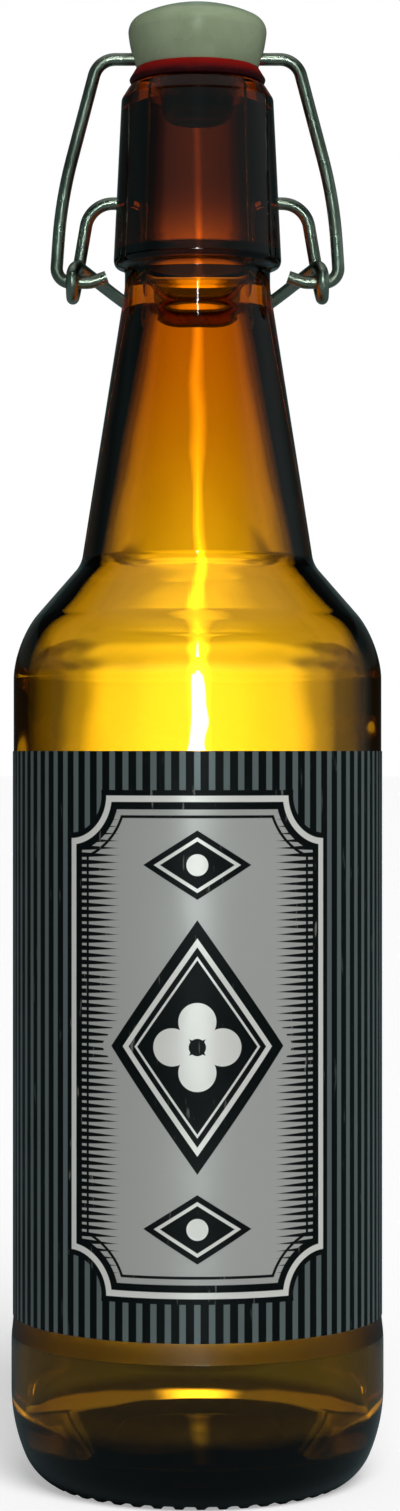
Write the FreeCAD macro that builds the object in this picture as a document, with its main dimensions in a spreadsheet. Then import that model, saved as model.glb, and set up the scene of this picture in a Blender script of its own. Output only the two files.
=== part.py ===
"""Half-litre amber glass bottle with a swing-top closure.

Frame: millimetres, +Z up along the bottle's axis, the origin on the table at the middle of the base.
The front is -Y. The closing lever's handle lies round the back of the neck, at +Y.

The glass is one revolved section with a thick collar at the mouth. A wrap label lies in a shallow
recess of the body. The lever's two pins turn in blind sockets in the sides of the collar, the bail
hooks through the lever's two eyes, and the stopper, with its gasket, turns on the bail's cross bar.
"""
import FreeCAD
import Part
import Sketcher
import math
import os
from FreeCAD import Vector

DIMENSIONS = (
    ("body_diameter", 68.0, "glass over the bands above and below the label"),
    ("body_height", 152.6, "where the body and shoulder lines would meet"),
    ("wall", 3.0, "glass wall of the body"),
    ("bearing_inset", 7.0, "ring that the bottle stands on, inside the body's outline"),
    ("bearing_width", 3.2, "width of that ring"),
    ("push_up", 5.0, "rise of the underside at the axis"),
    ("floor_thickness", 4.4, "glass at the axis of the base"),
    ("floor_corner_height", 5.4, "inner floor where it would meet the wall"),
    ("floor_corner_round", 2.5, "round between the inner floor and the wall"),
    ("heel_height", 17.0, "top of the drawn-in heel"),
    ("heel_knee_height", 5.1, "where the heel turns under"),
    ("heel_knee_inset", 2.4, "how far the heel has drawn in there"),
    ("heel_corner_round", 10.4, "round from the heel to the bearing ring"),
    ("label_bottom", 30.2, "lower edge of the label"),
    ("label_headroom", 19.9, "from the label's upper edge to the body's corner"),
    ("label_thickness", 0.12, "foil-faced paper"),
    ("label_glue", 0.03, "adhesive film between label and glass"),
    ("label_lap", 8.0, "width of the lapped seam at the back"),
    ("panel_depth", 0.4, "recess of the label panel in the body"),
    ("panel_margin", 0.3, "recess beyond each edge of the label"),
    ("panel_slope", 3.6, "height of the slope at each end of the recess"),
    ("panel_round", 20.0, "rounds at both ends of that slope"),
    ("shoulder_rise", 14.2, "from the body's corner to the neck's foot"),
    ("shoulder_round", 18.0, "round of the shoulder"),
    ("neck_foot_diameter", 42.5, "neck at its foot"),
    ("neck_foot_round", 5.0, "round between shoulder and neck"),
    ("neck_foot_wall", 3.0, "glass wall of the neck at its foot"),
    ("neck_length", 50.5, "tapered part of the neck"),
    ("inner_round", 6.0, "rounds inside the neck"),
    ("inner_shoulder_round", 15.0, "round inside the shoulder"),
    ("shoulder_drop", 0.8, "inside of the shoulder below its outside, at both ends"),
    ("waist_length", 3.8, "straight part of the neck, under the collar"),
    ("waist_wall", 3.8, "glass wall there"),
    ("collar_height", 33.4, "from the collar's underside to the lip"),
    ("collar_step", 2.1, "collar's lower edge beyond the neck"),
    ("collar_foot_round", 1.5, "round of the collar's lower edge"),
    ("collar_root_round", 1.2, "round between neck and collar"),
    ("collar_draw", 1.5, "how far the collar's side draws in, to its top"),
    ("lip_depth", 2.7, "from the lip down to the collar's side"),
    ("lip_draw", 1.7, "how far the lip's slope draws in"),
    ("lip_land", 3.95, "flat of the lip round the bore, before its rounds"),
    ("lip_round", 1.3, "rounds on the outside of the lip"),
    ("mouth_diameter", 16.5, "bore of the mouth"),
    ("mouth_round", 1.2, "round of the mouth's inner edge"),
    ("bore_length", 28.5, "bore of the collar, below the lip"),
    ("bore_draw", 1.2, "how far that bore opens out, from the lip to its foot"),
    ("flare_length", 13.0, "bore opening out into the neck"),
    ("wire_diameter", 2.3, "steel wire of the bail and the lever"),
    ("pivot_rise", 11.8, "lever's pins above the collar's lower edge"),
    ("pivot_clearance", 0.08, "radial play of a pin in its socket"),
    ("socket_web", 2.17, "end of a pin's socket beyond the radius of the mouth"),
    ("pin_end_gap", 0.4, "pin's end to the socket's end"),
    ("arm_reach", 4.3, "where the lever's arm turns down, beyond the collar's foot"),
    ("arm_bend", 5.0, "bend radius there"),
    ("eye_drop", 14.6, "lever's eyes below its pins"),
    ("eye_offset", 1.0, "eyes in front of the pins, past dead centre"),
    ("eye_reach", 7.4, "eyes beyond the collar's foot"),
    ("eye_play", 0.5, "bail's wire in an eye"),
    ("eye_top", 0.5, "extra height of an eye, over the bail"),
    ("eye_back", 0.35, "extra depth of an eye, towards the arm"),
    ("eye_flat", 0.3, "half width of an eye less its bend radius"),
    ("handle_gap", 5.85, "clear gap between the handle's back bar and the neck"),
    ("handle_drop", 18.5, "handle's back bar below the pins"),
    ("handle_half", 9.5, "half the handle's back bar, corner to middle"),
    ("handle_bend", 11.0, "bend radius at the back corners"),
    ("handle_knee_side", 0.95, "handle's knee clear of the neck's side"),
    ("handle_knee_step", 6.8, "handle's knee in front of the back bar"),
    ("handle_knee_drop", 15.0, "handle's knee below the pins"),
    ("handle_knee_bend", 15.0, "bend radius at the knee"),
    ("bail_seat", 0.65, "stopper left under the hole for the cross bar"),
    ("bail_clearance", 0.1, "radial play of the cross bar in the stopper"),
    ("bail_corner", 5.5, "where the bail turns down, beyond the head"),
    ("bail_bend", 4.0, "bend radius there"),
    ("bail_knee_rise", 15.2, "middle of the legs' gentle bow, above the eyes"),
    ("bail_knee_draw", 1.0, "how far the legs have drawn in there"),
    ("bail_knee_bend", 80.0, "radius of the bow"),
    ("bail_gap", 0.8, "from an eye to the leg beside it"),
    ("bail_hook_bend", 2.6, "bend radius into the eyes"),
    ("bail_tail_step", 1.0, "where the hooked ends turn up, clear of the eyes"),
    ("bail_tail_run", 2.9, "turned-up ends, towards the neck"),
    ("bail_tail_angle", 20.0, "slope of the turned-up ends, in degrees"),
    ("bail_tail_bend", 4.0, "bend radius there"),
    ("head_height", 11.9, "stopper's head over the gasket"),
    ("head_crown", 3.4, "rise of the head's domed top"),
    ("head_flare", 1.65, "widest part of the head beyond its foot"),
    ("head_band", 1.9, "height of that part, to the domed top"),
    ("head_edge_round", 3.0, "round of the top edge"),
    ("head_side_round", 22.0, "bulge of the side below the band"),
    ("head_foot_inset", 1.2, "head's foot inside the edge of the lip's flat"),
    ("gasket_gap", 0.1, "gasket to lip, before it is squeezed"),
    ("gasket_thickness", 2.8, "gasket between lip and head"),
    ("gasket_overhang", 0.3, "gasket beyond the flat of the lip"),
    ("gasket_brim", 0.3, "gasket's top edge beyond the head's foot"),
    ("gasket_edge_height", 0.8, "gasket's widest part above its flat"),
    ("gasket_edge_round", 0.5, "rounds of the gasket's edge"),
    ("cone_depth", 1.0, "gasket's centring cone below its flat"),
    ("cone_clearance", 0.65, "cone inside the mouth's rounded edge"),
    ("cone_tip_clearance", 0.75, "cone's tip inside the mouth"),
    ("plug_clearance", 1.75, "stopper's plug inside the mouth"),
    ("plug_depth", 7.5, "end of the plug below the lip"),
    ("plug_round", 2.4, "round of the plug's end"),
    ("stem_step", 1.0, "stem inside the plug, to hold the gasket"),
    ("stem_clearance", 0.05, "gasket round the stem and between head and plug"),
)

BODY_RADIUS = "dim.body_diameter / 2"
INNER_RADIUS = f"{BODY_RADIUS} - dim.wall"
PANEL_RADIUS = f"{BODY_RADIUS} - dim.panel_depth"
PANEL_BOTTOM = "dim.label_bottom - dim.panel_margin"
LABEL_TOP = "dim.body_height - dim.label_headroom"
PANEL_TOP = f"{LABEL_TOP} + dim.panel_margin"
LABEL_RADIUS = f"{PANEL_RADIUS} + dim.label_glue"
NECK_FOOT = "dim.body_height + dim.shoulder_rise"
WAIST_FOOT = f"{NECK_FOOT} + dim.neck_length"
COLLAR_FOOT = f"{WAIST_FOOT} + dim.waist_length"
LIP = f"{COLLAR_FOOT} + dim.collar_height"
COLLAR_TOP = f"{LIP} - dim.lip_depth"
MOUTH_RADIUS = "dim.mouth_diameter / 2"
LIP_RADIUS = f"{MOUTH_RADIUS} + dim.lip_land"
COLLAR_TOP_RADIUS = f"{LIP_RADIUS} + dim.lip_draw"
COLLAR_RADIUS = f"{COLLAR_TOP_RADIUS} + dim.collar_draw"
WAIST_RADIUS = f"{COLLAR_RADIUS} - dim.collar_step"
PIVOT = f"{COLLAR_FOOT} + dim.pivot_rise"
SOCKET_FLOOR = f"{MOUTH_RADIUS} + dim.socket_web"
EYE = f"{PIVOT} - dim.eye_drop"
EYE_REACH = f"{COLLAR_RADIUS} + dim.eye_reach"
WIRE_RADIUS = "dim.wire_diameter / 2"
PLUG_RADIUS = f"{MOUTH_RADIUS} - dim.plug_clearance"
STEM_RADIUS = f"{PLUG_RADIUS} - dim.stem_step"
GASKET_FLAT = f"{LIP} + dim.gasket_gap"
CONE_TIP = f"{GASKET_FLAT} - dim.cone_depth"
HEAD_FOOT = f"{GASKET_FLAT} + dim.gasket_thickness"
HEAD_FOOT_RADIUS = f"{LIP_RADIUS} - dim.head_foot_inset"
HEAD_RADIUS = f"{HEAD_FOOT_RADIUS} + dim.head_flare"
BAIL = f"{HEAD_FOOT} + dim.bail_seat + {WIRE_RADIUS} + dim.bail_clearance"
LEFT, RIGHT = 1, -1

doc = FreeCAD.newDocument("swing_top_bottle")


def make_sheet():
    """The driving dimensions, one named cell each."""
    sheet = doc.addObject("Spreadsheet::Sheet", "dim")
    for row, (alias, value, note) in enumerate(DIMENSIONS, start=1):
        sheet.set(f"A{row}", alias)
        sheet.set(f"B{row}", str(value))
        sheet.set(f"C{row}", note)
        sheet.setAlias(f"B{row}", alias)
    doc.recompute()
    return sheet


sheet = make_sheet()


def value(expression):
    """The present value of an expression in the sheet's cells."""
    return float(sheet.evalExpression(expression))


def crown(half_width, rise):
    """The radius, as an expression, of an arc that rises over half its width."""
    return f"(({half_width})^2 + ({rise})^2) / (2 * ({rise}))"


def add_body(label):
    body = doc.addObject("PartDesign::Body", label)
    body.Label = label
    return body


def origin_plane(body, role):
    return next(item for item in body.Origin.OriginFeatures if item.Role == role)


def add_sketch(body, name, role):
    """A sketch on one of the body's own origin planes."""
    sketch = body.newObject("Sketcher::SketchObject", name)
    sketch.AttachmentSupport = (origin_plane(body, role), [""])
    sketch.MapMode = "FlatFace"
    doc.recompute()
    return sketch


def bind(sketch, constraint, expression):
    """Add a dimension to the sketch and tie it to the sheet."""
    number = sketch.addConstraint(constraint)
    sketch.setExpression(f"Constraints[{number}]", expression)


def arc_between(start, end, radius, side):
    """The shorter arc from start to end, which bends to the left or to the right on its way."""
    chord = end - start
    left = Vector(-chord.y, chord.x, 0).normalize()
    height = math.sqrt(radius**2 - (chord.Length / 2) ** 2)
    centre = (start + end) / 2 + left * (side * height)
    first, last = (start, end) if side == LEFT else (end, start)
    angles = [math.atan2(point.y - centre.y, point.x - centre.x) for point in (first, last)]
    if angles[1] < angles[0]:
        angles[1] += 2 * math.pi
    return Part.ArcOfCircle(Part.Circle(centre, Vector(0, 0, 1), radius), *angles)


def bend_points(before, point, after, radius):
    """Where a round at a corner starts, its middle, and where it ends."""
    back, ahead = (before - point).normalize(), (after - point).normalize()
    half_turn = (math.pi - back.getAngle(ahead)) / 2
    reach = radius * math.tan(half_turn)
    middle = point + (back + ahead).normalize() * (radius / math.cos(half_turn) - radius)
    return point + back * reach, middle, point + ahead * reach


def draw_outline(sketch, corners):
    """A closed outline through corners, each (across, up) with what else it needs.

    (across, up, radius) has a round between two straight runs, and (across, up, radius, side) is
    followed by an arc that bends to that side.
    """
    number = {text: value(text) for corner in corners for text in corner[:3]}
    points = [Vector(number[corner[0]], number[corner[1]], 0) for corner in corners]
    count = len(corners)
    bends = {}
    for index, corner in enumerate(corners):
        if len(corner) == 3:
            before, after = points[index - 1], points[(index + 1) % count]
            bends[index] = bend_points(before, points[index], after, number[corner[2]])
    runs = []
    for index, corner in enumerate(corners):
        following = (index + 1) % count
        start = bends[index][2] if index in bends else points[index]
        end = bends[following][0] if following in bends else points[following]
        if len(corner) == 4:
            side = corner[3]
            arc = sketch.addGeometry(arc_between(start, end, number[corner[2]], side))
            bind(sketch, Sketcher.Constraint("Radius", arc, number[corner[2]]), corner[2])
            runs.append((arc, 1, 2) if side == LEFT else (arc, 2, 1))
        else:
            runs.append((sketch.addGeometry(Part.LineSegment(start, end)), 1, 2))
    for index, corner in enumerate(corners):
        arriving, leaving = runs[index - 1], runs[index]
        if index in bends:
            start, middle, end = bends[index]
            turns_left = (middle - start).cross(end - start).z > 0
            side = LEFT if turns_left else RIGHT
            bend = sketch.addGeometry(arc_between(start, end, number[corner[2]], side))
            first, last = (1, 2) if turns_left else (2, 1)
            sketch.addConstraint(Sketcher.Constraint("Tangent", arriving[0], arriving[2], bend, first))
            sketch.addConstraint(Sketcher.Constraint("Tangent", bend, last, leaving[0], leaving[1]))
            bind(sketch, Sketcher.Constraint("Radius", bend, number[corner[2]]), corner[2])
            place = (sketch.addGeometry(Part.Point(points[index]), True), 1)
            for run in (arriving, leaving):
                sketch.addConstraint(Sketcher.Constraint("PointOnObject", *place, run[0]))
        else:
            place = leaving[:2]
            sketch.addConstraint(Sketcher.Constraint("Coincident", arriving[0], arriving[2], *place))
        for kind, axis, text in (("DistanceX", -2, corner[0]), ("DistanceY", -1, corner[1])):
            if text == "0":
                sketch.addConstraint(Sketcher.Constraint("PointOnObject", *place, axis))
            else:
                bind(sketch, Sketcher.Constraint(kind, -1, 1, *place, number[text]), text)


def draw_circle(sketch, up, radius):
    """A circle on the sketch's upright axis."""
    height, size_now = value(up), value(radius)
    sketch.addGeometry(Part.Circle(Vector(0, height, 0), Vector(0, 0, 1), size_now))
    sketch.addConstraint(Sketcher.Constraint("PointOnObject", 0, 3, -2))
    bind(sketch, Sketcher.Constraint("DistanceY", -1, 1, 0, 3, height), up)
    bind(sketch, Sketcher.Constraint("Radius", 0, size_now), radius)


def revolve(body, name, role, corners, angle="360"):
    """Turn an outline about the bottle's axis, evenly to both sides of its plane."""
    sketch = add_sketch(body, f"{name}_section", role)
    draw_outline(sketch, corners)
    feature = body.newObject("PartDesign::Revolution", name)
    feature.Profile = sketch
    feature.ReferenceAxis = (sketch, ["V_Axis"])
    feature.Midplane = True
    feature.setExpression("Angle", angle)
    doc.recompute()
    return feature


def round_rims(body, name, radius, *rims):
    """Round the circular edges at the given (radius, height) places."""
    base = body.Tip
    names = []
    for across, up in rims:
        target = value(across), value(up)
        for number, edge in enumerate(base.Shape.Edges, start=1):
            if edge.Degenerated or not isinstance(edge.Curve, Part.Circle):
                continue
            on_axis = edge.Curve.Center.distanceToLine(Vector(0, 0, 0), Vector(0, 0, 1)) < 0.001
            if on_axis and math.dist((edge.Curve.Radius, edge.Curve.Center.z), target) < 0.001:
                names.append(f"Edge{number}")
    if len(names) < len(rims):
        raise ValueError(f"{name}: {len(names)} of {len(rims)} edges found")
    fillet = body.newObject("PartDesign::Fillet", name)
    fillet.Base = (base, names)
    fillet.setExpression("Radius", radius)
    doc.recompute()


def make_bottle():
    """One revolved section, and the two blind sockets for the lever's pins."""
    body = add_body("bottle")
    bearing = f"{BODY_RADIUS} - dim.bearing_inset"
    bearing_inside = f"{bearing} - dim.bearing_width"
    knee_rise = "dim.heel_height - dim.heel_knee_height"
    neck = "dim.neck_foot_diameter / 2"
    bore_foot = f"{LIP} - dim.bore_length"
    floor_corner = (INNER_RADIUS, "dim.floor_corner_height")
    floor_centre = "dim.push_up + dim.floor_thickness"
    revolve(
        body,
        "glass",
        "XZ_Plane",
        [
            ("0", "dim.push_up", crown(bearing_inside, "dim.push_up"), RIGHT),
            (bearing_inside, "0"),
            (bearing, "0", "dim.heel_corner_round", LEFT),
            (
                f"{BODY_RADIUS} - dim.heel_knee_inset",
                "dim.heel_knee_height",
                crown(knee_rise, "dim.heel_knee_inset"),
                LEFT,
            ),
            (BODY_RADIUS, "dim.heel_height"),
            (BODY_RADIUS, f"{PANEL_BOTTOM} - dim.panel_slope", "dim.panel_round"),
            (PANEL_RADIUS, PANEL_BOTTOM, "dim.panel_round"),
            (PANEL_RADIUS, PANEL_TOP, "dim.panel_round"),
            (BODY_RADIUS, f"{PANEL_TOP} + dim.panel_slope", "dim.panel_round"),
            (BODY_RADIUS, "dim.body_height", "dim.shoulder_round"),
            (neck, NECK_FOOT, "dim.neck_foot_round"),
            (WAIST_RADIUS, WAIST_FOOT),
            (WAIST_RADIUS, COLLAR_FOOT, "dim.collar_root_round"),
            (COLLAR_RADIUS, COLLAR_FOOT, "dim.collar_foot_round"),
            (COLLAR_TOP_RADIUS, COLLAR_TOP, "dim.lip_round"),
            (LIP_RADIUS, LIP, "dim.lip_round"),
            (MOUTH_RADIUS, LIP, "dim.mouth_round"),
            (f"{MOUTH_RADIUS} + dim.bore_draw", bore_foot, "dim.inner_round"),
            (f"{WAIST_RADIUS} - dim.waist_wall", f"{bore_foot} - dim.flare_length", "dim.inner_round"),
            (f"{neck} - dim.neck_foot_wall", f"{NECK_FOOT} - dim.shoulder_drop", "dim.inner_round"),
            (INNER_RADIUS, "dim.body_height - dim.shoulder_drop", "dim.inner_shoulder_round"),
            (*floor_corner, crown(INNER_RADIUS, f"{floor_centre} - dim.floor_corner_height"), LEFT),
            ("0", floor_centre),
        ],
    )
    round_rims(body, "floor_rounding", "dim.floor_corner_round", floor_corner)

    socket = add_sketch(body, "socket_circle", "YZ_Plane")
    socket.setExpression("AttachmentOffset.Base.z", COLLAR_RADIUS)
    draw_circle(socket, PIVOT, f"{WIRE_RADIUS} + dim.pivot_clearance")
    before = body.Shape.Volume
    pocket = body.newObject("PartDesign::Pocket", "socket")
    pocket.Profile = socket
    pocket.setExpression("Length", f"{COLLAR_RADIUS} - ({SOCKET_FLOOR})")
    doc.recompute()
    mirrored = body.newObject("PartDesign::Mirrored", "sockets")
    mirrored.Originals = [pocket]
    mirrored.MirrorPlane = (origin_plane(body, "YZ_Plane"), [""])
    body.Tip = mirrored
    doc.recompute()
    print(f"each socket takes {(before - body.Shape.Volume) / 2:.1f} mm3 of glass")
    return body


def make_label():
    """A wrap of foil-faced paper in the body's recess, with a lapped seam at the back."""
    body = add_body("wrap_label")
    bottom, top = "dim.label_bottom", LABEL_TOP
    outside = f"{LABEL_RADIUS} + dim.label_thickness"
    lapped = f"{LABEL_RADIUS} + 2 * dim.label_thickness"
    ring = [(LABEL_RADIUS, bottom), (outside, bottom), (outside, top), (LABEL_RADIUS, top)]
    lap = [(LABEL_RADIUS, bottom), (lapped, bottom), (lapped, top), (LABEL_RADIUS, top)]
    revolve(body, "wrap", "YZ_Plane", ring)
    revolve(body, "seam", "YZ_Plane", lap, f"dim.label_lap / ({LABEL_RADIUS}) * 180 / pi")
    return body


def make_stopper():
    """Head, stem and plug in one revolved piece, drilled for the bail's cross bar."""
    body = add_body("stopper")
    rim = (HEAD_RADIUS, f"{HEAD_FOOT} + dim.head_height - dim.head_crown")
    plug_top = f"{CONE_TIP} - dim.stem_clearance"
    plug_end = f"{LIP} - dim.plug_depth"
    revolve(
        body,
        "turned_stopper",
        "XZ_Plane",
        [
            ("0", plug_end),
            (PLUG_RADIUS, plug_end, "dim.plug_round"),
            (PLUG_RADIUS, plug_top),
            (STEM_RADIUS, plug_top),
            (STEM_RADIUS, HEAD_FOOT),
            (HEAD_FOOT_RADIUS, HEAD_FOOT, "dim.head_side_round", LEFT),
            (HEAD_RADIUS, f"{rim[1]} - dim.head_band"),
            (*rim, crown(HEAD_RADIUS, "dim.head_crown"), LEFT),
            ("0", f"{HEAD_FOOT} + dim.head_height"),
        ],
    )
    round_rims(body, "head_rounding", "dim.head_edge_round", rim)
    circle = add_sketch(body, "cross_hole_circle", "YZ_Plane")
    draw_circle(circle, BAIL, f"{WIRE_RADIUS} + dim.bail_clearance")
    before = body.Shape.Volume
    hole = body.newObject("PartDesign::Pocket", "cross_hole")
    hole.Profile = circle
    hole.Type = "ThroughAll"
    hole.Midplane = True
    doc.recompute()
    print(f"the cross hole takes {before - body.Shape.Volume:.1f} mm3 of the stopper")
    return body


def make_gasket():
    """A rubber washer that flares over the lip, with a cone that centres it in the mouth."""
    body = add_body("rubber_gasket")
    inside = f"{STEM_RADIUS} + dim.stem_clearance"
    top = f"{HEAD_FOOT} - dim.stem_clearance"
    widest = f"{LIP_RADIUS} + dim.gasket_overhang"
    revolve(
        body,
        "washer",
        "XZ_Plane",
        [
            (inside, CONE_TIP),
            (f"{MOUTH_RADIUS} - dim.cone_tip_clearance", CONE_TIP),
            (f"{MOUTH_RADIUS} + dim.mouth_round - dim.cone_clearance", GASKET_FLAT),
            (f"{widest} - dim.gasket_edge_height / 2", GASKET_FLAT, "dim.gasket_edge_round"),
            (widest, f"{GASKET_FLAT} + dim.gasket_edge_height", "dim.gasket_edge_round"),
            (f"{HEAD_FOOT_RADIUS} + dim.gasket_brim", top),
            (inside, top),
        ],
    )
    return body


def bent_path(corners):
    """Straight runs joined by tangent arcs. Each corner is (point, bend radius)."""
    edges = []
    last = corners[0][0]
    for (before, _), (point, radius), (after, _) in zip(corners, corners[1:], corners[2:]):
        start, middle, end = bend_points(before, point, after, radius)
        edges.append(Part.LineSegment(last, start).toShape())
        edges.append(Part.Arc(start, middle, end).toShape())
        last = end
    edges.append(Part.LineSegment(last, corners[-1][0]).toShape())
    return Part.Wire(edges)


def bent_wire(label, half):
    """A round wire along a path that is given for +X, from its end to the middle, and mirrored."""
    other = [(Vector(-point.x, point.y, point.z), radius) for point, radius in reversed(half)]
    path = doc.addObject("Part::Feature", f"{label}_path")
    path.Shape = bent_path(half + other)
    section = doc.addObject("Part::Circle", f"{label}_section")
    section.setExpression("Radius", WIRE_RADIUS)
    first = path.Shape.Edges[0]
    along = first.tangentAt(first.FirstParameter)
    section.Placement = FreeCAD.Placement(half[0][0], FreeCAD.Rotation(Vector(0, 0, 1), along))
    wire = doc.addObject("Part::Sweep", label)
    wire.Label = label
    wire.Sections = [section]
    wire.Spine = (path, [f"Edge{number + 1}" for number in range(len(path.Shape.Edges))])
    wire.Solid = True
    doc.recompute()
    expected = math.pi * value(WIRE_RADIUS) ** 2 * path.Shape.Length
    ratio = wire.Shape.Volume / expected
    print(f"{label}: {path.Shape.Length:.1f} mm of wire, {ratio:.4f} of its section times its length")
    return wire


def make_bail():
    """The bow over the stopper: cross bar, bowed legs, and hooked ends through the lever's eyes."""
    front = -value("dim.eye_offset")
    eye, top = value(EYE), value(BAIL)
    knee = eye + value("dim.bail_knee_rise")
    hook_reach = value(f"{EYE_REACH} + dim.wire_diameter + dim.bail_gap")
    tail_start = value(f"{EYE_REACH} - dim.wire_diameter - dim.bail_tail_step")
    tail_run = value("dim.bail_tail_run")
    tail_rise = value("dim.bail_tail_run * tan(dim.bail_tail_angle)")
    return bent_wire(
        "stopper_bail",
        [
            (Vector(tail_start - tail_run, front, eye + tail_rise), 0),
            (Vector(tail_start, front, eye), value("dim.bail_tail_bend")),
            (Vector(hook_reach, front, eye), value("dim.bail_hook_bend")),
            (
                Vector(hook_reach - value("dim.bail_knee_draw"), front * (top - knee) / (top - eye), knee),
                value("dim.bail_knee_bend"),
            ),
            (Vector(value(f"{HEAD_RADIUS} + dim.bail_corner"), 0, top), value("dim.bail_bend")),
        ],
    )


def make_lever():
    """Pins, arms, an eye round each hooked end of the bail, and a handle behind the neck."""
    pivot, eye, reach = value(PIVOT), value(EYE), value(EYE_REACH)
    half = value("dim.wire_diameter + dim.eye_play")
    bend = half - value("dim.eye_flat")
    front = -value("dim.eye_offset")
    beside_neck = value(f"{WAIST_RADIUS} + {WIRE_RADIUS}")
    handle_back = beside_neck + value("dim.handle_gap")
    return bent_wire(
        "locking_lever",
        [
            (Vector(value(f"{SOCKET_FLOOR} + dim.pin_end_gap"), 0, pivot), 0),
            (Vector(value(f"{COLLAR_RADIUS} + dim.arm_reach"), 0, pivot), value("dim.arm_bend")),
            (Vector(reach, front + half + value("dim.eye_back"), eye - half), bend),
            (Vector(reach, front - half, eye - half), bend),
            (Vector(reach, front - half, eye + half + value("dim.eye_top")), bend),
            (
                Vector(
                    beside_neck + value("dim.handle_knee_side"),
                    handle_back - value("dim.handle_knee_step"),
                    pivot - value("dim.handle_knee_drop"),
                ),
                value("dim.handle_knee_bend"),
            ),
            (
                Vector(value("dim.handle_half"), handle_back, pivot - value("dim.handle_drop")),
                value("dim.handle_bend"),
            ),
        ],
    )


parts = [make_bottle(), make_label(), make_stopper(), make_gasket(), make_bail(), make_lever()]
doc.recompute()
for item in doc.Objects:
    if {"Invalid", "Error"} & set(item.State):
        raise RuntimeError(f"{item.Label} failed: {item.State}")
os.makedirs("parts", exist_ok=True)
for item in parts:
    if item.Shape.isNull() or not item.Shape.isValid() or len(item.Shape.Solids) != 1:
        raise RuntimeError(f"{item.Label} is not one valid solid")
for item in parts:
    item.Shape.exportStep(f"parts/{item.Label}.step")
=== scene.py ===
import math
import bmesh
import bpy
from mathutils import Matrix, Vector


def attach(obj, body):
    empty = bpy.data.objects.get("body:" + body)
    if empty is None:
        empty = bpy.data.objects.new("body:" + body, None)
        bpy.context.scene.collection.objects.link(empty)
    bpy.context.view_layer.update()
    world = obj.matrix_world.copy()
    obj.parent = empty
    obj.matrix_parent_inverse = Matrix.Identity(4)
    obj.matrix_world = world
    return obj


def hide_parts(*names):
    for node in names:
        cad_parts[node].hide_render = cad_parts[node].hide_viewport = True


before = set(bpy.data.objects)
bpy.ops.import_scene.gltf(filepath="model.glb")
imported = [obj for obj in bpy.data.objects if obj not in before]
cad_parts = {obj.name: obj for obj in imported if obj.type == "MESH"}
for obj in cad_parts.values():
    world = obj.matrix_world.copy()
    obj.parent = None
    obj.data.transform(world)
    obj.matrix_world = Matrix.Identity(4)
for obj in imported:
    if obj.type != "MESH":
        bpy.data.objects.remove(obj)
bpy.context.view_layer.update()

# The bottle is one piece of amber glass, blown in a two-part mould, and darker where it is thick; painted
# shade in its colour darkens it further at the heel, neck, collar, inner base, step and groove.
# It stands on a knurled ring round a pushed-up base, and two blind sockets in its collar hold the pins
# of the closing lever. A low step in its side marks the foot of the label.
MM = 0.001
TOUCHING = 0.001 * MM
SMOOTH_ANGLE = math.radians(38)
BEVEL_DEGREES, BEVEL_LEAST = 3, 4
GLASS_SIDES = 264
HOLE_SIDES = 40
KNURLS = 44
KNURL_DEPTH = 0.75
KNURL_INSIDE = 23.0
SOCKET_HEIGHT = 232.9
SOCKET_RADIUS = 1.23
SOCKET_FLOOR, SOCKET_CUT_END = 10.42, 20
SEAM_HALF_WIDTH = 0.22
SEAM_HEIGHT = 0.12
AMBER = (0.933, 0.8, 0.0, 1)
AMBER_DENSITY = 900
GLASS_IOR = 1.52
GLASS_ROUGHER = 0.035
# Painted shade in the glass colour, over its heel, upper neck and collar.
HEEL_PAINTED_SHADE, HEEL_FADE = (0.25, 0.2, 0.2), (14, 11.5)
NECK_PAINTED_SHADE, NECK_FADE = (0.95, 0.74, 0.7), (165, 215)
COLLAR_PAINTED_SHADE, COLLAR_FADE = (0.36, 0.235, 0.22), (222, 236)
# Painted shade: the inside of the base is coloured nearly black.
INNER_FLOOR_PAINTED_SHADE, FLOOR_FADE, FLOOR_EDGE = (0.05, 0.045, 0.04), (14, 12), (30.6, 29.6)
UNDERSIDE_FADE = (8.6, 7.6)
# Painted shade on the band at the step below the label, which also has a satin roughness.
STEP_PAINTED_SHADE, STEP_HEIGHT = (0.4, 0.33, 0.33), 28.4
STEP_FADE, STEP_EDGE = (2.3, 1.6), (32, 33)
STEP_ROUGHNESS = 0.42
# Painted shade: a nearly black ring in the groove at the collar's foot.
GROOVE_PAINTED_SHADE, GROOVE_HEIGHT = (0.003, 0.002, 0.002), 222.7
GROOVE_FADE, GROOVE_EDGE = (1.7, 1.2), (14.2, 14.6)


def arc(start, end, radius, steps):
    """Points after start and up to end, on an arc that bulges to the right of the way between them."""
    first, last = Vector(start), Vector(end)
    chord = last - first
    left = Vector((-chord.y, chord.x)).normalized()
    centre = (first + last) / 2 + left * math.sqrt(radius**2 - (chord.length / 2) ** 2)
    spoke = first - centre
    turn = 2 * math.asin(chord.length / 2 / radius)
    points = []
    for step in range(1, steps + 1):
        angle = turn * step / steps
        cos, sin = math.cos(angle), math.sin(angle)
        points.append((centre.x + spoke.x * cos - spoke.y * sin, centre.y + spoke.x * sin + spoke.y * cos))
    return points


def dome(radius, edge_height, rise, steps):
    """Points from the edge of a shallow dome to its top on the axis."""
    ball = (radius**2 + rise**2) / (2 * rise)
    across = [radius * (1 - step / steps) for step in range(steps + 1)]
    return [(x, edge_height + rise - ball + math.sqrt(ball**2 - x**2)) for x in across]


def pick(wanted):
    """Select the vertices of the mesh in edit mode whose place is wanted, and nothing else."""
    mesh = bmesh.from_edit_mesh(bpy.context.object.data)
    for vertex in mesh.verts:
        vertex.select = wanted(vertex.co)
    mesh.select_mode = {"VERT"}
    mesh.select_flush_mode()
    bmesh.update_edit_mesh(bpy.context.object.data)


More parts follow.
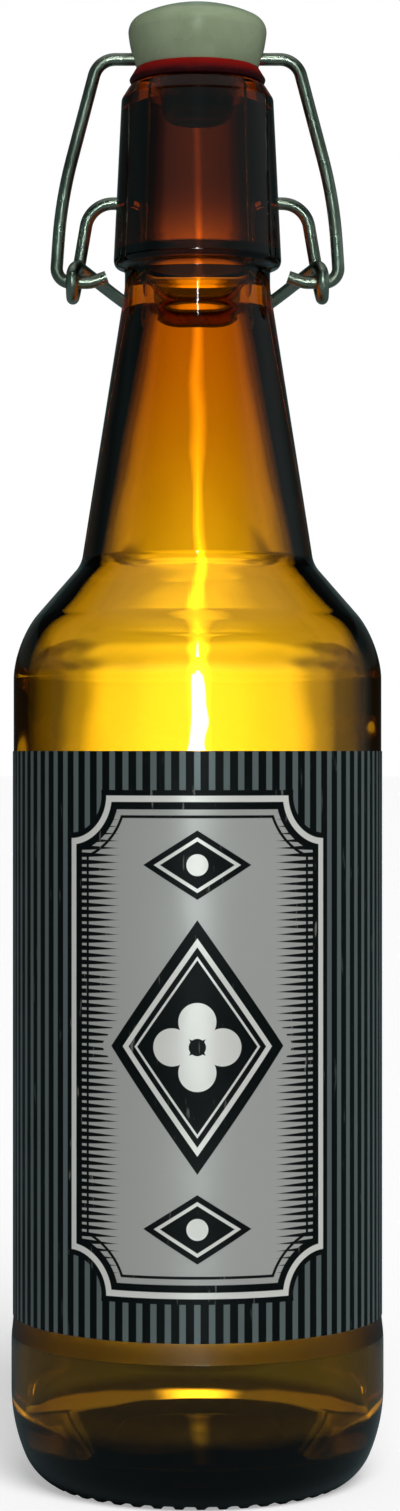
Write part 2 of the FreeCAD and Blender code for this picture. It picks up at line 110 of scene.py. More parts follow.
def start_piece(name):
    """A plane, merged to one vertex at the origin, in edit mode and ready to be drawn out."""
    bpy.ops.object.select_all(action="DESELECT")
    bpy.ops.mesh.primitive_plane_add(size=MM)
    piece = bpy.context.object
    piece.name = name
    piece.data.name = name
    bpy.ops.object.mode_set(mode="EDIT")
    bpy.ops.mesh.select_mode(type="VERT")
    bpy.ops.mesh.merge(type="CENTER")
    return piece


def draw_section(name, corners):
    """Draw half a section in millimetres, corner by corner; a third value rounds its corner."""
    piece = start_piece(name)
    places = [Vector((corner[0] * MM, 0, corner[1] * MM)) for corner in corners]
    bpy.ops.transform.translate(value=places[0])
    for here, there in zip(places, places[1:]):
        bpy.ops.mesh.extrude_region_move(TRANSFORM_OT_translate={"value": there - here})
    for before, corner, place, after in zip(places, corners[1:], places[1:], places[2:]):
        if len(corner) == 3:
            turn = (place - before).angle(after - place)
            pick(lambda co: (co - place).length < 2 * TOUCHING)
            bpy.ops.mesh.bevel(
                affect="VERTICES",
                offset=corner[2] * MM * math.tan(turn / 2),
                segments=max(BEVEL_LEAST, round(math.degrees(turn) / BEVEL_DEGREES)),
                profile=0.5,
            )
    return piece


def turn_section(piece, sides):
    """Turn the drawn section round the axis, merge it and turn its faces outwards."""
    bpy.ops.object.mode_set(mode="OBJECT")
    turned = piece.modifiers.new("turned", "SCREW")
    turned.axis = "Z"
    turned.steps = sides
    turned.render_steps = sides
    turned.use_merge_vertices = True
    turned.merge_threshold = TOUCHING
    bpy.ops.object.modifier_apply(modifier=turned.name)
    bpy.ops.object.mode_set(mode="EDIT")
    bpy.ops.mesh.select_all(action="SELECT")
    bpy.ops.mesh.remove_doubles(threshold=TOUCHING)
    bpy.ops.mesh.normals_make_consistent(inside=False)


def drill(piece, radius, near, far, height):
    """Cut a round hole along X, from near to far of the axis."""
    bpy.ops.object.select_all(action="DESELECT")
    bpy.ops.mesh.primitive_cylinder_add(
        vertices=HOLE_SIDES,
        radius=radius * MM,
        depth=abs(far - near) * MM,
        location=((near + far) / 2 * MM, 0, height * MM),
        rotation=(0, math.radians(90), 0),
    )
    cutter = bpy.context.object
    cut = piece.modifiers.new("hole", "BOOLEAN")
    cut.object = cutter
    cut.solver = "EXACT"
    bpy.context.view_layer.objects.active = piece
    bpy.ops.object.modifier_apply(modifier=cut.name)
    bpy.data.objects.remove(cutter)


underside = [*reversed(dome(23.8, 0.0, 5.0, 24)), (27.0, 0.0)]
heel = [*arc((27.0, 0.0), (31.6, 5.1), 10.4, 10), *arc((31.6, 5.1), (34.0, 17.0), 30.7, 10)]
body = [(34.0, 26.3, 20.0), (33.6, 29.9, 20.0), (33.6, 152.6, 18.0)]
neck = [(21.25, 166.8, 5.0), (13.3, 217.3, 6.0), (13.3, 221.1, 1.2)]
collar = [(15.4, 221.1, 1.5), (13.9, 251.8, 1.3), (12.2, 254.5, 1.3), (8.25, 254.5, 1.2)]
bore = [(9.45, 226.0, 6.0), (9.5, 213.0, 6.0), (18.25, 166.0, 6.0)]
cavity = [(31.0, 151.8, 15.0), (31.0, 5.4, 2.5), *dome(31.0, 5.4, 4.0, 30)[1:]]
glass = draw_section("amber_glass_bottle", [*underside, *heel, *body, *neck, *collar, *bore, *cavity])
turn_section(glass, GLASS_SIDES)


def between_knurls(co):
    """On the underside's outer ring, in the gaps between its bars."""
    column = round(math.atan2(co.y, co.x) / (2 * math.pi) * GLASS_SIDES)
    knurl_columns = GLASS_SIDES // KNURLS
    in_gap = column % knurl_columns >= knurl_columns // 2
    return in_gap and math.hypot(co.x, co.y) > KNURL_INSIDE * MM and co.z < KNURL_DEPTH * MM


pick(between_knurls)
bpy.ops.transform.resize(value=(1, 1, 0), center_override=(0, 0, KNURL_DEPTH * MM))
bpy.ops.object.mode_set(mode="OBJECT")
for side in (1, -1):
    drill(glass, SOCKET_RADIUS, side * SOCKET_FLOOR, side * SOCKET_CUT_END, SOCKET_HEIGHT)
bpy.ops.object.shade_smooth_by_angle(angle=SMOOTH_ANGLE)
even = glass.modifiers.new("even_shading", "WEIGHTED_NORMAL")
even.keep_sharp = True
bpy.ops.object.modifier_apply(modifier=even.name)


def new_finish(name):
    """A material with its nodes, ready to be wired: its tree and its Principled shader."""
    finish = bpy.data.materials.new(name)
    finish.use_nodes = True
    return finish, finish.node_tree, finish.node_tree.nodes["Principled BSDF"]


def add_node(tree, kind, inputs=None, **settings):
    """A node with its settings; each input is a value or another node's output."""
    node = tree.nodes.new(kind)
    for name, setting in settings.items():
        setattr(node, name, setting)
    for name, value in (inputs or {}).items():
        if isinstance(value, bpy.types.NodeSocket):
            tree.links.new(value, node.inputs[name])
        else:
            node.inputs[name].default_value = value
    return node


def object_place(tree):
    """The place on the piece, in metres."""
    return add_node(tree, "ShaderNodeTexCoord").outputs["Object"]


def parts_of(tree, place):
    """The X, Y and Z of a place."""
    return add_node(tree, "ShaderNodeSeparateXYZ", {0: place}).outputs


def noise(tree, place, scale, detail):
    """A cloud of values about a half."""
    inputs = {"Vector": place, "Scale": scale, "Detail": detail}
    return add_node(tree, "ShaderNodeTexNoise", inputs).outputs["Fac"]


def reckon(tree, operation, *values):
    """The output of a Math node on numbers or other outputs."""
    return add_node(tree, "ShaderNodeMath", dict(enumerate(values)), operation=operation).outputs[0]


def product(tree, first, *others):
    """All the values multiplied together."""
    for other in others:
        first = reckon(tree, "MULTIPLY", first, other)
    return first


def away_from(tree, value, middle):
    """How far a value is from a middle, either way."""
    return reckon(tree, "ABSOLUTE", reckon(tree, "SUBTRACT", value, middle))


def from_upright(tree, part_of):
    """How far a place is from the upright axis."""
    squares = [reckon(tree, "MULTIPLY", part_of[way], part_of[way]) for way in "XY"]
    return reckon(tree, "SQRT", reckon(tree, "ADD", *squares))


def ease(tree, value, start, end, low=0.0, high=1.0):
    """A smooth step of a value from low to high, between start and end."""
    inputs = {"Value": value, "From Min": start, "From Max": end, "To Min": low, "To Max": high}
    return add_node(tree, "ShaderNodeMapRange", inputs, interpolation_type="SMOOTHSTEP").outputs["Result"]


def fade(tree, value, reach):
    """A smooth step from 0 to 1 over a reach in millimetres."""
    return ease(tree, value, reach[0] * MM, reach[1] * MM)


def blend_colour(tree, amount, first, second):
    """One colour turning into another as the amount goes from 0 to 1."""
    node = add_node(tree, "ShaderNodeMix", {0: amount}, data_type="RGBA")
    for socket, colour in ((node.inputs[6], first), (node.inputs[7], second)):
        if isinstance(colour, bpy.types.NodeSocket):
            tree.links.new(colour, socket)
        else:
            socket.default_value = (*colour, 1)
    return node.outputs[2]


def bump_surface(tree, surface, height, strength, depth):
    """Bump a surface by a height, with a strength and a depth in millimetres."""
    bump = add_node(tree, "ShaderNodeBump", {"Height": height, "Strength": strength, "Distance": depth * MM})
    tree.links.new(bump.outputs["Normal"], surface.inputs["Normal"])


def make_handling_marks():
    """A node group for what use leaves on a surface: soft smudges and short fine scratches."""
    group = bpy.data.node_groups.new("handling_marks", "ShaderNodeTree")
    group.interface.new_socket("Scale", in_out="INPUT", socket_type="NodeSocketFloat")
    group.interface.new_socket("Smudges", in_out="OUTPUT", socket_type="NodeSocketFloat")
    group.interface.new_socket("Scratches", in_out="OUTPUT", socket_type="NodeSocketFloat")
    given = group.nodes.new("NodeGroupInput").outputs["Scale"]
    result = group.nodes.new("NodeGroupOutput")
    sizes = {0: object_place(group), "Scale": given}
    scaled = add_node(group, "ShaderNodeVectorMath", sizes, operation="SCALE").outputs[0]
    clouds = noise(group, scaled, scale=1.0, detail=4.0)
    group.links.new(ease(group, clouds, 0.48, 0.72), result.inputs["Smudges"])
    drawn_out = {"Vector": scaled, "Scale": (9, 9, 1.2), "Rotation": (0.4, 0.3, 0)}
    bent = add_node(group, "ShaderNodeMapping", drawn_out).outputs[0]
    grain = noise(group, bent, scale=2.0, detail=2.0)
    group.links.new(ease(group, grain, 0.66, 0.74), result.inputs["Scratches"])
    return group


handling_marks = make_handling_marks()


def add_marks(tree, scale):
    """The handling marks in a material, with its own size of marks: smudges and scratches."""
    marks = add_node(tree, "ShaderNodeGroup", node_tree=handling_marks)
    marks.inputs["Scale"].default_value = scale
    return marks.outputs["Smudges"], marks.outputs["Scratches"]


glass_finish, tree, surface = new_finish("amber_glass")
surface.inputs["IOR"].default_value = GLASS_IOR
surface.inputs["Transmission Weight"].default_value = 1.0
place = object_place(tree)
part_of = parts_of(tree, place)
height = part_of["Z"]
from_axis = from_upright(tree, part_of)
in_floor = product(tree, fade(tree, from_axis, FLOOR_EDGE), fade(tree, height, FLOOR_FADE))
in_base = reckon(tree, "MAXIMUM", in_floor, fade(tree, height, UNDERSIDE_FADE))
from_step = away_from(tree, height, STEP_HEIGHT * MM)
at_step = product(tree, fade(tree, from_step, STEP_FADE), fade(tree, from_axis, STEP_EDGE))
from_groove = away_from(tree, height, GROOVE_HEIGHT * MM)
in_groove = product(tree, fade(tree, from_groove, GROOVE_FADE), fade(tree, from_axis, GROOVE_EDGE))
# The glass colour carries only painted shade, laid on band after band.
painted_shade_colour = (1, 1, 1)
for amount, tint in (
    (fade(tree, height, HEEL_FADE), HEEL_PAINTED_SHADE),
    (fade(tree, height, NECK_FADE), NECK_PAINTED_SHADE),
    (fade(tree, height, COLLAR_FADE), COLLAR_PAINTED_SHADE),
    (in_base, INNER_FLOOR_PAINTED_SHADE),
    (at_step, STEP_PAINTED_SHADE),
    (in_groove, GROOVE_PAINTED_SHADE),
):
    painted_shade_colour = blend_colour(tree, amount, painted_shade_colour, tint)
tree.links.new(painted_shade_colour, surface.inputs["Base Color"])
smudges, _ = add_marks(tree, scale=45)
satin = reckon(tree, "MULTIPLY_ADD", at_step, STEP_ROUGHNESS, product(tree, smudges, GLASS_ROUGHER))
tree.links.new(satin, surface.inputs["Roughness"])
across = reckon(tree, "ABSOLUTE", part_of["Y"])
seam = ease(tree, across, 0.0, SEAM_HALF_WIDTH * MM, SEAM_HEIGHT, 0.0)
waves = noise(tree, place, scale=60, detail=1.0)
bump_surface(tree, surface, reckon(tree, "ADD", waves, seam), strength=0.35, depth=0.6)
dye = add_node(tree, "ShaderNodeVolumeAbsorption", {"Color": AMBER, "Density": AMBER_DENSITY})
tree.links.new(dye.outputs["Volume"], tree.nodes["Material Output"].inputs["Volume"])
glass.data.materials.append(glass_finish)
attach(glass, "glass")
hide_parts("bottle")

# The label is one wrap of foil-faced paper, printed in black over silver foil, with its lap at the back.
# It is glued round the body, above the step. Pinstripes run right round it, and at the front
# a tall panel with scooped corners holds a column of lozenges.
LABEL_RADIUS = 33.63
LABEL_BOTTOM, LABEL_TOP = 30.2, 132.7
LABEL_MIDDLE = (LABEL_BOTTOM + LABEL_TOP) / 2
PAPER = 0.12
PRINTED_FACE = (LABEL_RADIUS + 0.04, LABEL_RADIUS + 0.07)
LAP_STEPS = 10
LAP_LIFT = 1.15 * PAPER
COLUMN = 2 * math.pi / GLASS_SIDES
STRIPES = 83
STRIPE_PITCH = 2 * math.pi * (LABEL_RADIUS + PAPER) / STRIPES
SILVER_HALF_WIDTH = 0.55
PANEL_HALF = (24.0, 43.5)
PANEL_SCOOP = 7.5
PANEL_MARGIN = 1.0
FRAME_LINE = (-1.1, 0.0)
FIELD_EDGE = -2.4
KEY_LINE = (-3.9, -3.4)
LARGE_LOZENGE = (15.5, 22.0)
LARGE_LINES = ((-2.7, -1.8), (-4.0, -3.6))
SMALL_LOZENGE = (9.5, 6.0)
SMALL_LINE = (-1.6, -1.0)
SMALL_UP = 31.5
SMALL_DOT = 1.9
PETAL_OUT, PETAL_RADIUS = 4.4, 3.3
ROSETTE_EYE = 1.5
HATCH_PITCH = 1.25
HATCH_REACH = (11.0, 22.0)
HATCH_HALF_WIDTH = (-0.1, 0.42)
HATCH_CLEAR = 1.6
INK_EDGE = 0.05
INK = (0.001, 0.002, 0.002)
STRIPE_SILVER = (0.12, 0.15, 0.15)
SILVER = (0.42, 0.43, 0.41)
PALE_SILVER = (0.74, 0.74, 0.70)
BARE_PAPER = (0.36, 0.35, 0.31)
INK_WORN = 0.25
FOIL_METAL = 0.35
PAPER_ROUGHNESS, PAPER_ROUGHER, FOIL_SMOOTHER = 0.44, 0.1, -0.12
PAPER_SHINE = 0.25
FIBRE_SHARE = 0.06

label = start_piece("striped_wrap_label")
lap_start = math.pi / 2 + COLUMN * (LAP_STEPS // 2)
edge_way = Vector((math.cos(lap_start), math.sin(lap_start), 0))
edge_place = edge_way * LABEL_RADIUS + Vector((0, 0, LABEL_BOTTOM))
bpy.ops.transform.translate(value=edge_place * MM)
bpy.ops.mesh.extrude_region_move(TRANSFORM_OT_translate={"value": (0, 0, (LABEL_TOP - LABEL_BOTTOM) * MM)})
bpy.ops.mesh.select_all(action="SELECT")
bpy.ops.mesh.spin(steps=GLASS_SIDES - 1, angle=2 * math.pi - COLUMN, center=(0, 0, 0), axis=(0, 0, 1))
bpy.ops.mesh.extrude_region_move(TRANSFORM_OT_translate={"value": (0, 0, 0)})
bpy.ops.transform.rotate(value=COLUMN, orient_axis="Z", center_override=(0, 0, 0))
lift = 1 + LAP_LIFT / LABEL_RADIUS
bpy.ops.transform.resize(value=(lift, lift, 1), center_override=(0, 0, 0))
bpy.ops.mesh.spin(steps=LAP_STEPS, angle=LAP_STEPS * COLUMN, center=(0, 0, 0), axis=(0, 0, 1))
bpy.ops.mesh.select_all(action="SELECT")
bpy.ops.mesh.remove_doubles(threshold=TOUCHING)
bpy.ops.mesh.normals_make_consistent(inside=False)
bpy.ops.object.mode_set(mode="OBJECT")
paper = label.modifiers.new("paper", "SOLIDIFY")
paper.thickness = PAPER * MM
paper.offset = 1
bpy.ops.object.modifier_apply(modifier=paper.name)
bpy.ops.object.shade_smooth_by_angle(angle=SMOOTH_ANGLE)

label_finish, tree, surface = new_finish("striped_foil_paper")
place = object_place(tree)
part_of = parts_of(tree, place)
turn = reckon(tree, "ARCTAN2", part_of["X"], reckon(tree, "MULTIPLY", part_of["Y"], -1.0))
round_way = reckon(tree, "MULTIPLY", turn, LABEL_RADIUS + PAPER)
up_way = reckon(tree, "SUBTRACT", reckon(tree, "DIVIDE", part_of["Z"], MM), LABEL_MIDDLE)
beside = reckon(tree, "ABSOLUTE", round_way)
above = reckon(tree, "ABSOLUTE", up_way)


def inside(distance, limit=0.0):
    """1 where a distance in millimetres is below a limit, with a soft printed edge."""
    return ease(tree, distance, limit + INK_EDGE, limit - INK_EDGE)


def line(distance, low, high):
    """1 where a distance lies between two values."""
    return inside(away_from(tree, distance, (low + high) / 2), (high - low) / 2)


def from_point(across, up):
    """The distance from a point, and from its mirror images."""
    step = [reckon(tree, "SUBTRACT", way, middle) for way, middle in ((beside, across), (above, up))]
    squares = [reckon(tree, "MULTIPLY", way, way) for way in step]
    return reckon(tree, "SQRT", reckon(tree, "ADD", *squares))


def from_lozenge(half_width, half_height, up=0.0):
    """The distance from the edge of a lozenge on the middle line, less than nothing inside it."""
    off = away_from(tree, above, up)
    shares = [reckon(tree, "DIVIDE", way, half) for way, half in ((beside, half_width), (off, half_height))]
    share = reckon(tree, "ADD", *shares)
    slant = half_width * half_height / math.hypot(half_width, half_height)
    return reckon(tree, "MULTIPLY", reckon(tree, "SUBTRACT", share, 1.0), slant)


def either(*masks):
    """1 where any of the masks is."""
    result = masks[0]
    for mask in masks[1:]:
        result = reckon(tree, "MAXIMUM", result, mask)
    return result


def without(mask, *others):
    """A mask less the others."""
    return reckon(tree, "MULTIPLY", mask, reckon(tree, "SUBTRACT", 1.0, either(*others)))


def from_bar(along, pitch):
    """The distance from the nearest of evenly spaced bars."""
    phase = reckon(tree, "FRACT", reckon(tree, "DIVIDE", along, pitch))
    return reckon(tree, "MULTIPLY", away_from(tree, phase, 0.5), pitch)


half_pitch_on = reckon(tree, "ADD", round_way, STRIPE_PITCH / 2)
stripes = inside(from_bar(half_pitch_on, STRIPE_PITCH), SILVER_HALF_WIDTH)

past_sides = reckon(tree, "SUBTRACT", beside, PANEL_HALF[0])
past_ends = reckon(tree, "SUBTRACT", above, PANEL_HALF[1])
scoop = reckon(tree, "SUBTRACT", PANEL_SCOOP, from_point(*PANEL_HALF))
panel = either(past_sides, past_ends, scoop)
margin = inside(panel, PANEL_MARGIN)
frame_line = line(panel, *FRAME_LINE)
field = inside(panel, FIELD_EDGE)
key_line = line(panel, *KEY_LINE)

large = from_lozenge(*LARGE_LOZENGE)
small = from_lozenge(*SMALL_LOZENGE, SMALL_UP)
petals = reckon(tree, "MINIMUM", from_point(PETAL_OUT, 0), from_point(0, PETAL_OUT))
rosette = without(inside(petals, PETAL_RADIUS), inside(from_point(0, 0), ROSETTE_EYE))
small_dots = inside(from_point(0, SMALL_UP), SMALL_DOT)
lozenges = either(inside(large), inside(small))
lozenge_lines = either(*[line(large, *ends) for ends in LARGE_LINES], line(small, *SMALL_LINE))

hatch_width = ease(tree, beside, *HATCH_REACH, *HATCH_HALF_WIDTH)
hatch = inside(reckon(tree, "SUBTRACT", from_bar(up_way, HATCH_PITCH), hatch_width))
hatch = without(hatch, inside(large, HATCH_CLEAR), inside(small, HATCH_CLEAR))

bright = either(frame_line, lozenge_lines, rosette, small_dots)
silver = either(without(stripes, margin), without(field, key_line, lozenges, hatch), bright)
smudges, scratches = add_marks(tree, scale=60)
foil = blend_colour(tree, margin, STRIPE_SILVER, SILVER)
foil = blend_colour(tree, bright, foil, PALE_SILVER)
worn = product(tree, scratches, INK_WORN)
print_colour = blend_colour(tree, either(silver, worn), INK, foil)
outer_face = fade(tree, from_upright(tree, part_of), PRINTED_FACE)
tree.links.new(blend_colour(tree, outer_face, BARE_PAPER, print_colour), surface.inputs["Base Color"])
tree.links.new(product(tree, silver, outer_face, FOIL_METAL), surface.inputs["Metallic"])
smudged = reckon(tree, "MULTIPLY_ADD", smudges, PAPER_ROUGHER, PAPER_ROUGHNESS)
tree.links.new(reckon(tree, "MULTIPLY_ADD", silver, FOIL_SMOOTHER, smudged), surface.inputs["Roughness"])
fibres = noise(tree, place, scale=900, detail=3.0)
cockles = noise(tree, place, scale=55, detail=2.0)
relief = reckon(tree, "MULTIPLY_ADD", fibres, FIBRE_SHARE, cockles)
bump_surface(tree, surface, relief, strength=0.3, depth=0.5)
surface.inputs["Specular IOR Level"].default_value = PAPER_SHINE
label.data.materials.append(label_finish)
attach(label, "glass")
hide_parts("wrap_label")

# The stopper is one turned piece of porcelain, with a flared head, a stem for the gasket and a short plug.
# It is glazed all over and drilled across for the bail's cross bar. Years of handling leave the glaze
# a little uneven and grey in its low spots.
GLAZE, PALE_GLAZE = (0.21, 0.265, 0.16), (0.245, 0.30, 0.19)
GLAZE_SCRATCH, GLAZE_SCRATCHED = (0.13, 0.15, 0.10), 0.3
GLAZE_ROUGHNESS, GLAZE_ROUGHER = 0.2, 0.2


def refinish(node, finish):
    """Give a CAD node a finish of its own."""
    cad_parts[node].data.materials.clear()
    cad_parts[node].data.materials.append(finish)


porcelain, tree, surface = new_finish("grey_green_porcelain")
place = object_place(tree)
smudges, scratches = add_marks(tree, scale=150)
clouds = ease(tree, noise(tree, place, scale=130, detail=3.0), 0.35, 0.65)
glaze = blend_colour(tree, clouds, GLAZE, PALE_GLAZE)
glaze = blend_colour(tree, product(tree, scratches, GLAZE_SCRATCHED), glaze, GLAZE_SCRATCH)
tree.links.new(glaze, surface.inputs["Base Color"])
roughness = reckon(tree, "MULTIPLY_ADD", smudges, GLAZE_ROUGHER, GLAZE_ROUGHNESS)
tree.links.new(roughness, surface.inputs["Roughness"])
ripples = noise(tree, place, scale=220, detail=1.0)
bump_surface(tree, surface, ripples, strength=0.2, depth=0.3)
refinish("stopper", porcelain)

# The gasket is a moulded washer of red rubber on the stopper's stem.
# It is pressed on the lip when the lever is down, and its skin is matt, with fine moulding grain
# and a little dust, and painted shade darkens it towards the lip.
# Painted shade: the rubber turns darker towards the lip, below its fade.
RUBBER, PAINTED_SHADE_RUBBER, RUBBER_SHADE_FADE = (0.18, 0.002, 0.001), (0.03, 0.001, 0.002), (255.2, 257.2)
RUBBER_SMUDGE, RUBBER_SMUDGED = (0.10, 0.003, 0.002), 0.5
RUBBER_SCRATCH, RUBBER_SCRATCHED = (0.24, 0.03, 0.02), 0.3
RUBBER_ROUGHNESS, RUBBER_ROUGHER = 0.5, 0.12
RUBBER_SHINE = 0.15

rubber, tree, surface = new_finish("red_rubber")
place = object_place(tree)
smudges, scratches = add_marks(tree, scale=200)
# Painted shade towards the lip.
skin = blend_colour(tree, fade(tree, parts_of(tree, place)["Z"], RUBBER_SHADE_FADE), PAINTED_SHADE_RUBBER, RUBBER)
skin = blend_colour(tree, product(tree, smudges, RUBBER_SMUDGED), skin, RUBBER_SMUDGE)
skin = blend_colour(tree, product(tree, scratches, RUBBER_SCRATCHED), skin, RUBBER_SCRATCH)
tree.links.new(skin, surface.inputs["Base Color"])
roughness = reckon(tree, "MULTIPLY_ADD", smudges, RUBBER_ROUGHER, RUBBER_ROUGHNESS)
tree.links.new(roughness, surface.inputs["Roughness"])
grain = noise(tree, place, scale=1800, detail=2.0)
bump_surface(tree, surface, grain, strength=0.25, depth=0.1)
surface.inputs["Specular IOR Level"].default_value = RUBBER_SHINE
refinish("rubber_gasket", rubber)

# The bail and the lever are each one length of drawn steel wire, bent cold, with no joints of their own.
# The wire is tinned, gone grey with age, with dull patches, fine marks from drawing and bending,
# and darker grime.
STEEL, GRIMY_STEEL = (0.52, 0.57, 0.45), (0.25, 0.285, 0.22)
STEEL_SCRATCH, STEEL_SCRATCHED = (0.7, 0.76, 0.66), 0.5
STEEL_ROUGHNESS, STEEL_ROUGHER = 0.27, 0.15

for node, grime_scale in (("stopper_bail", 110), ("locking_lever", 140)):
    wire, tree, surface = new_finish(f"aged_steel_{node}")
    smudges, scratches = add_marks(tree, scale=grime_scale)
    steel = blend_colour(tree, smudges, STEEL, GRIMY_STEEL)
    steel = blend_colour(tree, product(tree, scratches, STEEL_SCRATCHED), steel, STEEL_SCRATCH)
    tree.links.new(steel, surface.inputs["Base Color"])
    surface.inputs["Metallic"].default_value = 1.0
    roughness = reckon(tree, "MULTIPLY_ADD", smudges, STEEL_ROUGHER, STEEL_ROUGHNESS)
    tree.links.new(roughness, surface.inputs["Roughness"])
    pits = noise(tree, object_place(tree), scale=1400, detail=3.0)
    bump_surface(tree, surface, pits, strength=0.3, depth=0.1)
    refinish(node, wire)

# The floor is plain and pale, before a white backdrop, in soft light from the front and above.
# As in a studio for glass, what shows of it through the bottle is painted dark behind and under it, as
# painted shadow, and mirrored it is painted dark all over; a strip further back glows as painted light, with
# a bright spot in its middle.
FLOOR_SIZE = 40
FLOOR_COLOUR, PAINTED_SHADOW_FLOOR = (0.75, 0.75, 0.75), (0.10, 0.14, 0.15)
FLOOR_ROUGHNESS, FLOOR_GLOW = 0.9, 0.38
STRIP_START, STRIP_END, STRIP_LIGHT = (0.172, 0.19), (0.7, 0.5), 0.8
SPOT_HALF_WIDTH, SPOT_END, SPOT_LIGHT = (0.015, 0.001), (0.26, 0.24), 18.0
DARK_START, DARK_SIDE, DARK_SPREAD = (-0.02, 0.04), (0.25, 0.1), 0.35
DARK_UNDER = (0.14, 0.08)


def only_mirrored(tree, path):
    """1 for light that is mirrored and not seen through glass, which counts as glossy as well."""
    through = path["Is Transmission Ray"]
    return reckon(tree, "SUBTRACT", reckon(tree, "MAXIMUM", path["Is Glossy Ray"], through), through)


floor_finish, tree, surface = new_finish("pale_floor")
surface.inputs["Roughness"].default_value = FLOOR_ROUGHNESS
surface.inputs["Emission Color"].default_value = (1, 1, 1, 1)
path = add_node(tree, "ShaderNodeLightPath").outputs
through = path["Is Transmission Ray"]
part_of = parts_of(tree, object_place(tree))
beside = reckon(tree, "ABSOLUTE", part_of["X"])
back = part_of["Y"]
# Painted light: a strip and a spot on the floor glow for what is seen through the glass.
spot = product(tree, ease(tree, beside, *SPOT_HALF_WIDTH, 0.0, SPOT_LIGHT), ease(tree, back, *SPOT_END))
strip = reckon(tree, "ADD", spot, ease(tree, back, *STRIP_END, 0.0, STRIP_LIGHT))
lit = product(tree, ease(tree, back, *STRIP_START), strip, through)
shown = reckon(tree, "MULTIPLY_ADD", path["Is Camera Ray"], FLOOR_GLOW, lit)
tree.links.new(shown, surface.inputs["Emission Strength"])
spread = reckon(tree, "SUBTRACT", beside, product(tree, back, DARK_SPREAD))
behind = product(tree, ease(tree, back, *DARK_START), ease(tree, spread, *DARK_SIDE))
under = ease(tree, from_upright(tree, part_of), *DARK_UNDER)
# Painted shadow behind and under the bottle, seen through the glass; mirrored, the whole floor is painted
# dark.
painted_shadow = product(tree, reckon(tree, "MAXIMUM", behind, under), through)
painted_shadow = reckon(tree, "MAXIMUM", painted_shadow, only_mirrored(tree, path))
tree.links.new(blend_colour(tree, painted_shadow, FLOOR_COLOUR, PAINTED_SHADOW_FLOOR), surface.inputs["Base Color"])
bpy.ops.object.select_all(action="DESELECT")
bpy.ops.mesh.primitive_plane_add(size=FLOOR_SIZE)
floor = bpy.context.object
floor.name = "floor"
floor.data.materials.append(floor_finish)

# The studio has a tall lit panel behind the bottle, wider higher up, and weaker ones at its sides and front.
# What is mirrored shows cool light in front and at the sides, with a narrow white lamp in front
# and weak white panels at the right and overhead. Light mirrored inside the glass meets a dimmer panel.
PANEL_LIGHT, PANEL_ROUND_SCALE, PANEL_SHINE = 8.5, 2.6, 0.1
LAMP_LIGHT, LAMP_EDGE = 25.0, 0.006
RIGHT_START, RIGHT_TOP, RIGHT_LIGHT = (0.6, 0.9), (0.35, 0.2), 0.14
OVERHEAD_START, OVERHEAD_LIGHT = (0.45, 0.7), 0.25
INNER_TOP, INNER_LEAST = (0.15, 0.1), 0.1
ROOM_LIGHT = 0.22
COOL_WHITE, WARM_WHITE, FULLY_WARM = (0.6, 1.0, 1.0), (0.9, 1.0, 1.0), 0.2
SUN_STRENGTH, SUN_SPREAD, SUN_WAY = 2.7, math.radians(35), (-0.25, 0.9, -0.95)


def level_at(tree, value, *stops):
    """A brightness that follows a value through (place, brightness) stops."""
    node = add_node(tree, "ShaderNodeValToRGB", {0: value})
    node.color_ramp.interpolation = "EASE"
    points = node.color_ramp.elements
    while len(points) < len(stops):
        points.new(0.5)
    for point, (place, brightness) in zip(points, stops):
        point.position = place
        point.color = (brightness, brightness, brightness, 1)
    return node.outputs[0]


world = bpy.data.worlds.new("studio")
world.use_nodes = True
bpy.context.scene.world = world
tree = world.node_tree
way = parts_of(tree, add_node(tree, "ShaderNodeTexCoord").outputs["Generated"])
turn = reckon(tree, "ABSOLUTE", reckon(tree, "ARCTAN2", way["X"], way["Y"]))
from_back = reckon(tree, "DIVIDE", turn, math.pi)
rise = reckon(tree, "DIVIDE", reckon(tree, "ARCSINE", way["Z"]), math.pi / 2)
# A ramp starts at 0, so lights that reach below the horizon follow the rise plus a half.
raised = reckon(tree, "ADD", rise, 0.5)

narrowing = level_at(
    tree,
    rise,
    *((0.0, 0.55), (0.015, 0.6), (0.025, 0.7), (0.042, 0.5), (0.055, 0.55)),
    *((0.068, 0.45), (0.08, 0.2), (0.1, 0.17), (0.2, 0.15)),
)
back_round = level_at(
    tree,
    product(tree, from_back, narrowing, PANEL_ROUND_SCALE),
    *((0.0, 1.0), (0.001, 0.9), (0.003, 0.36), (0.03, 0.28), (0.05, 0.1)),
    *((0.075, 0.03), (0.2, 0.005), (0.41, 0.005), (0.6, 0.001)),
)
other_round = level_at(
    tree,
    from_back,
    *((0.40, 0.0), (0.45, 0.06), (0.55, 0.06), (0.6, 0.0), (0.93, 0.0), (0.97, 0.12)),
)
panel_rise = level_at(
    tree,
    rise,
    *((0.0, 0.92), (0.012, 0.9), (0.03, 0.56), (0.045, 0.64), (0.06, 0.4)),
    *((0.085, 0.31), (0.1, 0.31), (0.16, 0.32), (0.38, 0.4), (0.5, 0.05)),
)
back_panel = product(tree, reckon(tree, "MAXIMUM", back_round, other_round), panel_rise, PANEL_LIGHT)
inner_round = level_at(tree, from_back, (0.0, 1.2), (0.0004, 0.9), (0.0012, 0.05), (0.03, 0.02), (0.2, 0.01))
inner_panel = product(tree, inner_round, ease(tree, rise, *INNER_TOP, INNER_LEAST, 1.0))

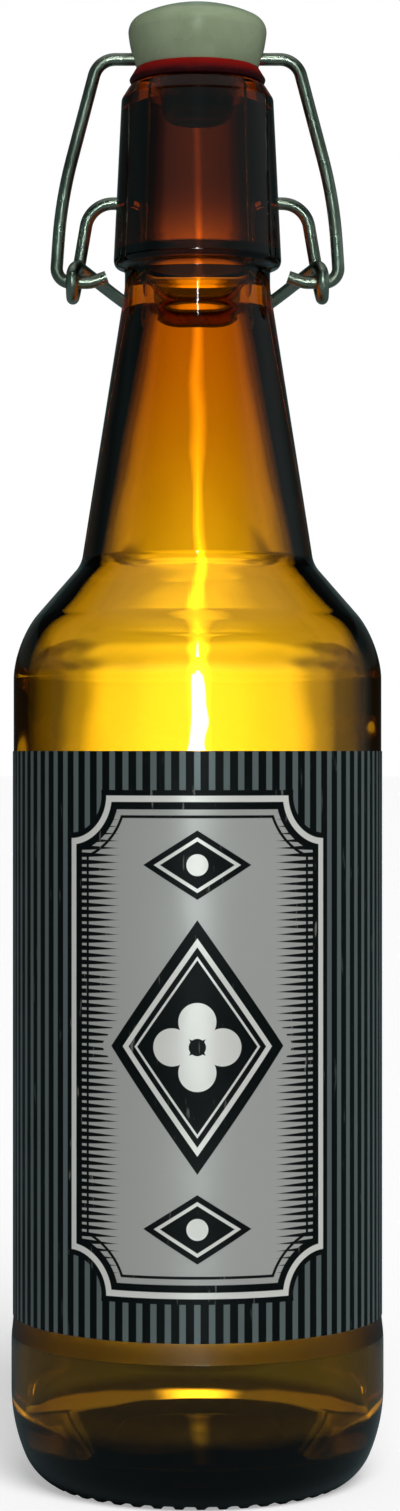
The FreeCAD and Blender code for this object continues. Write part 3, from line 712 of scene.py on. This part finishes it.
lamp_width = level_at(
    tree,
    raised,
    *((0.496, 0.0), (0.498, 0.05), (0.503, 0.04), (0.51, 0.025), (0.519, 0.013), (0.55, 0.011)),
    *((0.59, 0.009), (0.595, 0.0), (0.785, 0.0), (0.79, 0.008), (0.95, 0.005), (0.96, 0.0)),
)
lamp_inside = reckon(tree, "SUBTRACT", lamp_width, reckon(tree, "SUBTRACT", 1.0, from_back))
lamp = product(tree, ease(tree, lamp_inside, 0.0, LAMP_EDGE), LAMP_LIGHT)
cool_rise = level_at(
    tree,
    raised,
    *((0.4, 0.2), (0.47, 0.02), (0.55, 0.02), (0.58, 0.2), (0.69, 0.2), (0.715, 0.0)),
)
cool_round = level_at(tree, from_back, (0.6, 0.15), (0.8, 1.0))
side_round = level_at(tree, from_back, (0.3, 0.0), (0.42, 1.0), (0.6, 1.0), (0.72, 0.0))
side_rise = level_at(tree, rise, (0.05, 0.0), (0.15, 0.06), (0.5, 0.06), (0.7, 0.0))
from_right = ease(tree, way["X"], *RIGHT_START, 0.0, RIGHT_LIGHT)
right_panel = product(tree, from_right, ease(tree, rise, *RIGHT_TOP))
overhead = ease(tree, rise, *OVERHEAD_START, 0.0, OVERHEAD_LIGHT)
warm_panels = reckon(tree, "MAXIMUM", right_panel, overhead)
shine = reckon(tree, "MULTIPLY_ADD", back_panel, PANEL_SHINE, lamp)
for more in (product(tree, cool_rise, cool_round), product(tree, side_round, side_rise), warm_panels):
    shine = reckon(tree, "ADD", shine, more)

path = add_node(tree, "ShaderNodeLightPath").outputs
through = path["Is Transmission Ray"]
mirrored = only_mirrored(tree, path)
plain = reckon(tree, "SUBTRACT", reckon(tree, "SUBTRACT", 1.0, through), mirrored)
direct = reckon(tree, "LESS_THAN", path["Glossy Depth"], 0.5)
seen = add_node(tree, "ShaderNodeMix", {0: direct, 2: inner_panel, 3: back_panel}).outputs[0]
brightness = product(tree, plain, ROOM_LIGHT)
brightness = reckon(tree, "MULTIPLY_ADD", through, seen, brightness)
brightness = reckon(tree, "MULTIPLY_ADD", mirrored, shine, brightness)
brightness = reckon(tree, "MAXIMUM", brightness, path["Is Camera Ray"])
warmth = ease(tree, reckon(tree, "MAXIMUM", warm_panels, lamp), 0.0, FULLY_WARM)
mirrored_colour = blend_colour(tree, warmth, COOL_WHITE, WARM_WHITE)
background = tree.nodes["Background"]
tree.links.new(blend_colour(tree, mirrored, (1, 1, 1), mirrored_colour), background.inputs["Color"])
tree.links.new(brightness, background.inputs["Strength"])

sun = bpy.data.lights.new("soft_key", "SUN")
sun.energy = SUN_STRENGTH
sun.angle = SUN_SPREAD
key = bpy.data.objects.new("soft_key", sun)
key.rotation_euler = Vector(SUN_WAY).to_track_quat("-Z", "Y").to_euler()
key.visible_glossy = False
key.visible_transmission = False
bpy.context.scene.collection.objects.link(key)

# The camera stands level with the label's upper edge, 60 cm in front of the bottle's axis.
CAMERA_PLACE = (0.00046, -0.6, 0.1319)
SENSOR_WIDTH, FOCAL_LENGTH = 36, 78.1

view = bpy.data.cameras.new("camera")
view.sensor_fit = "AUTO"
view.sensor_width = SENSOR_WIDTH
view.lens = FOCAL_LENGTH
camera = bpy.data.objects.new("camera", view)
camera.location = CAMERA_PLACE
camera.rotation_euler = (math.radians(90), 0, 0)
bpy.context.scene.collection.objects.link(camera)
bpy.context.scene.camera = camera
bpy.context.scene.view_settings.view_transform = "Standard"
